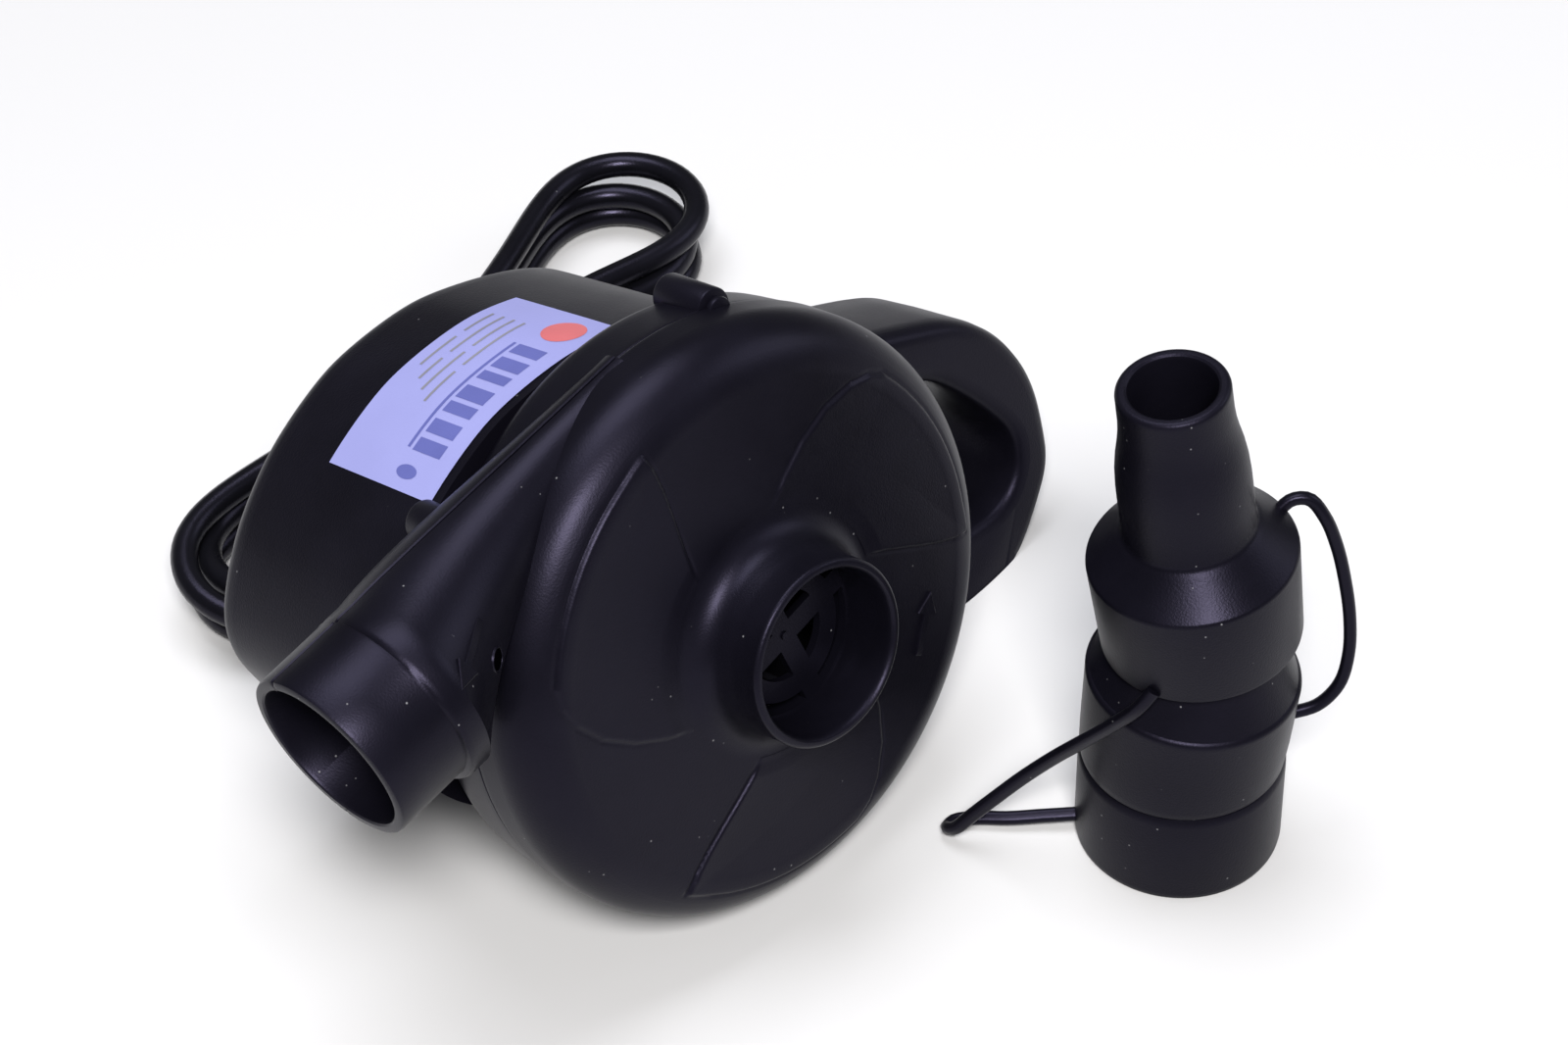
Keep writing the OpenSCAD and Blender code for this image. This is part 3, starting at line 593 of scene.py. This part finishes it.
def tube_half(front):
    """One half of the outlet tube as a strip: outside, collar, mouth and bore, with a seam chamfer."""
    rows = []
    n = 60

    def row(s, off, w, r, seam):
        lean = math.asin(w / r)
        a0, a1 = (-lean, math.pi + lean) if front else (math.pi + lean, 2 * math.pi - lean)
        gap, edge = (0.2 / r, 0.45 / r) if seam else (0, 0)
        angles = np.concatenate([[a0 + gap] * 2, np.linspace(a0 + edge, a1 - edge, n), [a1 - gap] * 2])
        radii = np.full(n + 4, float(r))
        if seam:
            radii[[0, -1]] = r - 1.4
            radii[[1, -2]] = r - 0.22
        points = [
            s * ALONG + (off + q * math.cos(a)) * OFF + np.array([0, 0, w + q * math.sin(a)])
            for a, q in zip(angles, radii)
        ]
        rows.append(points)

    for s in np.linspace(ROOT_S, NECK[0], 40):
        row(s, *tube_at(s), True)
    start = OUTLET_REACH - COLLAR_LENGTH
    off, w, r = NECK[1:]
    for s, shrink in ((start - 3, 0), (start - 1.4, 0), (start - 0.7, 0.1), (start - 0.25, 0.35)):
        row(s, off, w, r - shrink, True)
    off, w, r = COLLAR[1:]
    for s, grow in ((start, 0.12), (start + 0.5, 0.0), (start + 8, 0.0), (OUTLET_REACH - 0.7, 0.0),
                    (OUTLET_REACH - 0.2, -0.2), (OUTLET_REACH, -0.6)):
        row(s, off, w, r + grow, True)
    for s, inset in ((OUTLET_REACH, 1.7), (OUTLET_REACH - 0.25, 2.05), (OUTLET_REACH - 0.8, WALL),
                     (start, WALL + 0.1)):
        row(s, off, w, r - inset, False)
    for s in np.linspace(start - 2, 16, 12):
        off, w, r = tube_at(s)
        row(s, off, w, r - WALL, False)
    return loft(rows, closed=False)


def boss(place, w0, w1, r):
    """A screw boss with rounded rim."""
    profile = [(0, w0), (r - 0.5, w0), (r - 0.15, w0 + 0.15), (r, w0 + 0.5), (r, w1 - 0.5),
               (r - 0.15, w1 - 0.15), (r - 0.5, w1), (0, w1)]
    a = math.radians(place[1])
    return revolved(profile, 40, (place[0] * math.cos(a), place[0] * math.sin(a)))


# screw places: distance from the axis and direction
SCREWS = [(54.3, 104), (60.3, 168.5), (53.5, 36), (53.5, 332)]


def arrow(length, head=2.4, shaft=0.7, rise=0.5, edge=0.25):
    """A raised arrow with sloping sides."""
    shape = [(-length / 2, -shaft), (length / 6, -shaft), (length / 6, -head), (length / 2, 0),
             (length / 6, head), (length / 6, shaft), (-length / 2, shaft)]
    centre = np.array([length / 12, 0])
    spokes = [np.array(p) - centre for p in shape]
    inner = [tuple(centre + spoke * (1 - edge / max(1.2, np.hypot(*spoke)))) for spoke in spokes]
    rows = [[(x, y, -0.6) for x, y in shape], [(x, y, rise - 0.15) for x, y in shape],
            [(x, y, rise) for x, y in inner]]
    return loft(rows, caps=(True, True))


def on_tube(s, turn, rise):
    """Frame on the outlet tube's skin: x along the skin, z straight out of it."""
    a = math.radians(90 - turn)

    def skin(at):
        off, w, r = tube_at(at)
        return at * ALONG + (off + r * math.cos(a)) * OFF + np.array([0, 0, w + r * math.sin(a)])

    along = skin(s + 0.5) - skin(s - 0.5)
    along /= np.linalg.norm(along)
    out = np.cross(along, math.cos(a) * np.array([0, 0, 1]) - math.sin(a) * OFF)
    out /= np.linalg.norm(out)
    across = np.cross(out, along)
    place = skin(s) + rise * out
    return Matrix([(along[i], across[i], out[i], place[i]) for i in range(3)] + [(0, 0, 0, 1)])


flow_arrow = moved(arrow(14), on_tube(53.3, 19, -0.05))
intake_arrow = moved(
    arrow(12), Matrix.Rotation(math.radians(1), 4, "Z") @ Matrix.Translation((38, 0, FACE_W + 0.3))
    @ Matrix.Rotation(math.radians(90), 4, "Z")
)
vent_ring = revolved([(1.75, -0.35), (1.9, 0.02), (2.15, 0.05), (2.3, -0.3)], 32)
vent_disc = revolved([(0.0, -0.3), (1.8, -0.3)], 32)
cover = make("front_cover_shell", "pump", casing, *joined(cover_disc(), tube_half(True)))
make("cover_bosses", "pump", casing, *joined(*[boss(p, 0.15, 1.6, 2.5) for p in SCREWS]))
arrows = make("raised_arrows", "pump", casing, *joined(flow_arrow, intake_arrow))
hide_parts("front_cover", "swirl_ribs")
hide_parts("flow_arrows")

# The vent's hole is a near-black, dull disc inside its rim, with no hole behind it. It is painted shade
# standing in for the hole's dark inside.
vent_mat = moulded("vent_shadow", (0.0005, 0.0005, 0.0007), 0.9, 0.02, 0.0, gleam=0.0)
make("vent_hole_shade", "pump", vent_mat, *moved(vent_disc, on_tube(48.5, -12, 0.42)))
make("vent_rim", "pump", casing, *moved(vent_ring, on_tube(48.5, -12, 0.16)))


def rear_disc():
    """Rear half of the fan casing."""
    profile = [(28, -REAR_DEPTH), (VOLUTE_R - 6, -REAR_DEPTH)]
    profile += arc((VOLUTE_R - 5.2, 4.2 - REAR_DEPTH), 4.2, 275, 350, 10)
    profile += [(VOLUTE_R - 0.9 + 0.1 * i, -8 + 1.2 * i) for i in range(7)]
    profile += [(VOLUTE_R - 0.3, -0.5), (VOLUTE_R - 0.5, -0.2), (VOLUTE_R - 2, -0.2)]
    return without(revolved(profile, 720), lambda p: in_outlet(p, 1.1))


rear = make(
    "rear_casing_shell", "pump", casing,
    *joined(rear_disc(), tube_half(False), *[boss(p, 1 - REAR_DEPTH, -0.15, 3.7) for p in SCREWS]),
    grounded=True,
)
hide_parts("rear_shell")

# ---------- motor housing and handle ----------
# circles round which the outlines run: across, up, radius; and how far their corners are softened
CAN = [(0, 17, 30), (-14, 13, 30), (-22, 7, 30), (-27, -1, 30), (-29, -8, 30),
       (-42, -15, 17), (5, -10, 30), (20, -1, 30), (16, 11, 30)]
LOOP = [(20, 8, 29), (5, -10, 29), (71.5, 15, 34.3), (91, 19, 15.5)]
OPENING = [(66, 20, 17), (86, 19.5, 10.5), (63, 5, 7), (62, 24, 12)]
CAN_SOFT, LOOP_SOFT, OPENING_SOFT = 4, 2, 5
REAR_ROUND = 6


def can_growth(depth):
    """How far the housing's wall stands outside its outline at a depth."""
    return float(np.interp(depth, [REAR_DEPTH, 24, 58], [2, 1.6, 0]))


def circle(centre, r, n):
    """Flat points round a circle."""
    a = np.linspace(0, 2 * np.pi, n, endpoint=False)
    return np.stack([centre[0] + r * np.cos(a), centre[1] + r * np.sin(a)], 1)


def plate(outer, holes, depth):
    """A flat wall with holes."""
    rings = [outer] + [h[::-1] for h in holes]
    flat = np.concatenate(rings)
    faces = tessellate_polygon([[Vector((x, y, 0)) for x, y in ring] for ring in rings])
    return at_depth(flat, depth), [tuple(f) for f in faces]


def can():
    """Motor housing: front wall, drafted side wall, rounded rear edge, rear wall with its openings."""
    n = 300
    rows = [at_depth(outline(CAN, -10, n, CAN_SOFT), REAR_DEPTH + 0.1)]
    rows += [at_depth(outline(CAN, can_growth(d), n, CAN_SOFT), d)
             for d in (REAR_DEPTH, 16, 20, 24, 32, 40, 50, 57)]
    for a in np.linspace(0, 90, 10)[1:]:
        depth = HOUSING_DEPTH - REAR_ROUND + REAR_ROUND * math.sin(math.radians(a))
        shrink = -REAR_ROUND + REAR_ROUND * math.cos(math.radians(a))
        rows.append(at_depth(outline(CAN, shrink, n, CAN_SOFT), depth))
    wall = loft(rows)
    half_x, half_y = 4.2, 6.7
    corners = ((-half_x, -half_y), (half_x, -half_y), (half_x, half_y), (-half_x, half_y))
    switch_hole = np.array([(SWITCH[0] + x, SWITCH[1] + y) for x, y in corners])
    holes = [circle((0, 0), GRILLE_R + 0.4, 96), switch_hole]
    back = plate(outline(CAN, -REAR_ROUND, n, CAN_SOFT), holes, HOUSING_DEPTH)
    inner_face = HOUSING_DEPTH - 2.4
    steps = ((GRILLE_R + 0.4, HOUSING_DEPTH), (GRILLE_R + 0.1, HOUSING_DEPTH - 0.3), (GRILLE_R, inner_face))
    recess = loft([at_depth(circle((0, 0), r, 96), d) for r, d in steps])
    slot = loft([at_depth(switch_hole, HOUSING_DEPTH), at_depth(switch_hole, inner_face)])
    return wall, back, recess, slot


def handle():
    """Carrying loop: a ring between the outer outline and the opening, with rounded edges."""
    n = 300
    outer, inner = outline(LOOP, -0.5, n, LOOP_SOFT), outline(OPENING, 0, n, OPENING_SOFT)
    out_dir = outline([(0, 0, 0)], 1, n)
    rows = []

    def row(t, grow, depth):
        edge = outer if t else inner
        rows.append(at_depth(edge + grow * out_dir, depth))

    for grow, depth in ((3.0, 19.0), (1.6, 19.15), (0.5, 19.7), (0, 20.8), (0, 30), (0, 40), (0, 44.5),
                        (0.5, 46.6), (2.4, 48)):
        row(0, grow, depth)
    for grow, depth in ((-5.2, 48), (-3.2, 47.6), (-1.8, 46.2), (-0.9, 43.5), (-0.4, 36), (0, 24),
                        (-0.2, 21.6), (-0.9, 20), (-2, 19.2), (-3.4, 19.0)):
        row(1, grow, depth)
    rows.append(rows[0])
    return loft(rows)


body_shell = make("housing_shell", "pump", housing_mat, *joined(*can(), handle()), sharp=40, grounded=True)
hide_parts("motor_housing")


# ---------- label ----------
LABEL_CENTRE = np.array([-2.0, -12.0])
LABEL_SECTOR, LABEL_DEPTHS = (106.5, 154.0), (15.0, 44.0)
PAPER_RISE, PRINT_RISE = 0.18, 0.24


def on_can(angle, depth, rise):
    """A point on the housing's wall, seen from the label's centre."""
    edge = outline(CAN, can_growth(depth) + rise, 1440, CAN_SOFT)
    rel = edge - LABEL_CENTRE
    directions = np.degrees(np.arctan2(rel[:, 1], rel[:, 0])) % 360
    order = np.argsort(directions)
    x = np.interp(angle, directions[order], edge[order, 0])
    y = np.interp(angle, directions[order], edge[order, 1])
    return (x, y, -depth)


def patch(x0, x1, y0, y1, rise, shape=None):
    """A patch of the label: x along its length and y across it, both from 0 to 1."""
    rows = []
    for y in np.linspace(y0, y1, 7):
        row = []
        for x in np.linspace(x0, x1, 25):
            px, py = x, y
            if shape == "round":
                a, b = 2 * (x - x0) / (x1 - x0) - 1, 2 * (y - y0) / (y1 - y0) - 1
                a, b = a * math.sqrt(1 - b * b / 2), b * math.sqrt(1 - a * a / 2)
                px, py = (x0 + x1) / 2 + a * (x1 - x0) / 2, (y0 + y1) / 2 + b * (y1 - y0) / 2
            angle = LABEL_SECTOR[0] + (LABEL_SECTOR[1] - LABEL_SECTOR[0]) * px
            depth = LABEL_DEPTHS[0] + (LABEL_DEPTHS[1] - LABEL_DEPTHS[0]) * py
            row.append(on_can(angle, depth, rise))
        rows.append(row)
    return loft(rows, closed=False)


label = make("label_sheet", "pump", paper_mat, *patch(0, 1, 0, 1, PAPER_RISE))
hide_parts("label")
bars = [patch(0.28 + 0.085 * i, 0.28 + 0.085 * i + w, 0.14, 0.40, PRINT_RISE) for i, w in
        enumerate((0.055, 0.06, 0.045, 0.065, 0.05, 0.06, 0.055))]
stripe = patch(0.28, 0.84, 0.43, 0.455, PRINT_RISE)
dot = patch(0.90, 0.955, 0.24, 0.42, PRINT_RISE, "round")
make("label_band", "pump", blue_ink, *joined(*bars, stripe, dot))
make("label_spot", "pump", red_ink, *patch(0.06, 0.22, 0.12, 0.42, PRINT_RISE, "round"))
lines = [patch(x, x + w, y, y + 0.022, PRINT_RISE) for x, w, y in
         ((0.16, 0.30, 0.58), (0.50, 0.16, 0.58), (0.16, 0.20, 0.68), (0.40, 0.22, 0.68), (0.16, 0.26, 0.78),
          (0.46, 0.12, 0.78), (0.16, 0.14, 0.88), (0.34, 0.18, 0.88))]
make("label_lines", "pump", grey_ink, *joined(*lines))


# ---------- strain relief ----------
def relief_sleeve():
    """Tapered sleeve with ribs, from the rear wall to where the lead leaves it."""
    profile = [(0, -61), (6.2, -61.2), (6.6, -HOUSING_DEPTH - 0.5), (6.5, -HOUSING_DEPTH - 2.4),
               (6.1, -HOUSING_DEPTH - 3)]
    top, end = HOUSING_DEPTH + 3, HOUSING_DEPTH + 28
    for i in range(6):
        d = top + 0.8 + i * 4.1
        r = 5.1 - 1.3 * (d - top) / (end - top)
        profile += [(r, -d), (r - 0.05, -d - 2.3), (r - 0.9, -d - 2.5), (r - 0.95, -d - 3.5),
                    (r - 0.15, -d - 3.7)]
    profile += [(3.7, -end + 0.3), (3.3, -end), (2.6, -end)]
    return revolved(profile, 48, INLET)


sleeve = make("lead_sleeve", "pump", cord_mat, *relief_sleeve())
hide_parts("strain_relief")


# ---------- nozzle set ----------
LEFT, FRONT = np.array([-0.7, 0.71, 0]), np.array([-0.71, -0.7, 0])
ADAPTER_H, SOCKET_R = 20.6, 17.05
MIDDLE_Z, SKIRT_Z, SHOULDER_Z, TIP_Z = 21.75, 50.2, 20.2, 57.8
MIDDLE_LEAN, TIP_LEAN = 3.5, 7.5


def leaning(angle, height):
    """A lean to one side, about a height over the foot."""
    return (
        Matrix.Translation((0, 0, height))
        @ Matrix.Rotation(math.radians(angle), 4, Vector((0.71, 0.7, 0)))
        @ Matrix.Translation((0, 0, -height))
    )


FOOT = Matrix.Translation(NOZZLE)

bottom_profile = [(SOCKET_R, 10.5), (SOCKET_R, 0.4), (17.3, 0), (18.2, 0), (18.55, 0.15), (18.72, 0.5),
                  (18.85, 1.4), (18.75, ADAPTER_H - 1.8), (18.6, ADAPTER_H - 0.9),
                  (18.2, ADAPTER_H - 0.25), (17.6, ADAPTER_H),
                  (17.0, ADAPTER_H - 0.1), (16.7, ADAPTER_H - 0.6), (16.7, 10.5), (SOCKET_R, 10.5)]
bottom = make("nozzle_bottom", "adapter", nozzle_mat, *revolved(bottom_profile, 160), FOOT)
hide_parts("bottom_adapter")

middle_profile = [(15, 2), (13.8, -9.8), (14.3, -10), (15.3, -9.9), (15.6, -9.4), (16.05, -0.9),
                  (16.3, -1.0), (17.9, -1.0), (18.3, -0.85), (18.5, -0.4), (18.6, 0.8), (18.72, 3),
                  (18.85, 6), (19.15, 17.6)]
middle_profile += arc((17.9, 18.1), 1.3, 5, 62, 5)
middle_profile += [(12.9, 31.8), (12.6, 32.6), (12.5, 39), (10.9, 39), (11.2, 33), (15, 19.3), (15, 2)]
upright = revolved([(r, z + MIDDLE_Z) for r, z in middle_profile], 160)
share = np.clip((upright[0][:, 2:] - MIDDLE_Z + 1) / 5, 0, 1)
leant = moved(upright, leaning(MIDDLE_LEAN, MIDDLE_Z))[0]
middle_points = upright[0] * (1 - share) + leant * share
middle = make("nozzle_middle", "middle", nozzle_mat, middle_points, upright[1], FOOT)
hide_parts("middle_adapter")

tip_profile = [(16.6, 18.5), (16.6, 0.5), (16.9, 0.05), (17.3, 0), (17.65, 0.3), (17.8, 1.0),
               (18.45, SHOULDER_Z - 1.3)]
tip_profile += arc((17.3, SHOULDER_Z - 1.2), 1.15, 5, 58, 5)
tip_profile += [(12.9, SHOULDER_Z + 4.9)]
tip_profile += arc((13.3, SHOULDER_Z + 6.9), 1.75, 238, 182, 5)
tip_profile += [(11.6, 32), (11.55, 37), (11.35, 40.5), (10.95, 43.5), (10.4, 46.3), (10.0, 48.8),
                (9.8, 51.5), (9.75, TIP_Z - 1.6)]
tip_profile += arc((8.75, TIP_Z - 1.0), 1.0, 5, 90, 6)
tip_profile += [(8.1, TIP_Z - 0.05), (7.7, TIP_Z - 0.35), (7.5, TIP_Z - 0.9), (7.5, 43), (9.8, 35),
                (10.6, 27), (16.6, 18.5)]
tip = make("nozzle_tip", "tip", nozzle_mat, *revolved(tip_profile, 160),
           FOOT @ Matrix.Translation((-0.4, 0.4, SKIRT_Z)) @ leaning(-TIP_LEAN, SHOULDER_Z))
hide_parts("tip_nozzle")

STRAP_A = [(7.4, 15.2, 51), (10, 15.4, 47), (14, 13.5, 41), (19, 10.5, 33.5), (24, 7.5, 26), (29, 5.5, 19),
           (34, 4.5, 12.5), (38, 4, 7.5), (41, 3.5, 3.6), (42.4, 2, 2), (41, 0, 1.6), (37, -0.5, 1.7),
           (31, 0, 2), (25, 0, 2.4), (18.4, 0, 2.8)]
STRAP_B = [(-14.5, -7, 71.6), (-17.2, -8, 73.6), (-20.2, -8, 73.6), (-23, -7, 70.2), (-25.4, -6, 64.2),
           (-27.2, -4.5, 57), (-28.4, -3, 49.5), (-28.6, -1.5, 42), (-27.2, 0, 35.8), (-23.6, 1, 31.6),
           (-18.6, 1.5, 30)]


def strap(route, width, height):
    """A strap swept along offsets to the left, to the front and up from the foot."""
    points = [p[0] * LEFT + p[1] * FRONT + np.array([0, 0, p[2]]) for p in route]
    return tube(smooth_path(points, 1.0), flat_section(width, height), tuple(FRONT))


strap_a = make("strap_low", None, strap_mat, *strap(STRAP_A, 2.6, 2.2), FOOT)
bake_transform(strap_a)
strap_b = make("strap_high", None, strap_mat, *strap(STRAP_B, 2.3, 2.3), FOOT)
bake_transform(strap_b)
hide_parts("tether_a")
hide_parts("tether_b")


# ---------- floor and light ----------
def stage_floor():
    """Plain pale floor."""
    mesh = bpy.data.meshes.new("floor")
    half = 4.0
    corners = [(-half, -half, 0), (half, -half, 0), (half, half, 0), (-half, half, 0)]
    mesh.from_pydata(corners, [], [(0, 1, 2, 3)])
    floor = bpy.data.objects.new("floor", mesh)
    bpy.context.scene.collection.objects.link(floor)
    paint = bpy.data.materials.new("floor_paint")
    paint.use_nodes = True
    shader = paint.node_tree.nodes["Principled BSDF"]
    shader.inputs["Base Color"].default_value = (0.52, 0.52, 0.53, 1)
    shader.inputs["Roughness"].default_value = 0.8
    mesh.materials.append(paint)


def softbox(name, place, target, size, power, colour=(1, 1, 1)):
    """A soft rectangular lamp, turned to its target."""
    light = bpy.data.lights.new(name, "AREA")
    light.shape = "RECTANGLE"
    light.size, light.size_y = size
    light.energy = power
    light.color = colour
    lamp = bpy.data.objects.new(name, light)
    lamp.location = place
    lamp.rotation_euler = (Vector(target) - Vector(place)).to_track_quat("-Z", "Y").to_euler()
    bpy.context.scene.collection.objects.link(lamp)


stage_floor()
softbox("key", (-0.62, -0.72, 1.25), (0, 0, 0.05), (0.42, 0.32), 36, (1.0, 0.98, 0.95))
softbox("top", (0.1, 0.35, 1.5), (0, 0, 0.05), (1.0, 0.8), 20, (0.96, 0.97, 1.0))
softbox("fill", (0.95, -0.5, 0.7), (0, 0, 0.05), (0.6, 0.6), 3, (0.9, 0.92, 1.0))
world = bpy.data.worlds.new("studio")
world.use_nodes = True
world.node_tree.nodes["Background"].inputs["Color"].default_value = (0.95, 0.96, 1.0, 1)
world.node_tree.nodes["Background"].inputs["Strength"].default_value = 0.16
bpy.context.scene.world = world
bpy.context.scene.view_settings.view_transform = "Standard"

bpy.context.view_layer.update()
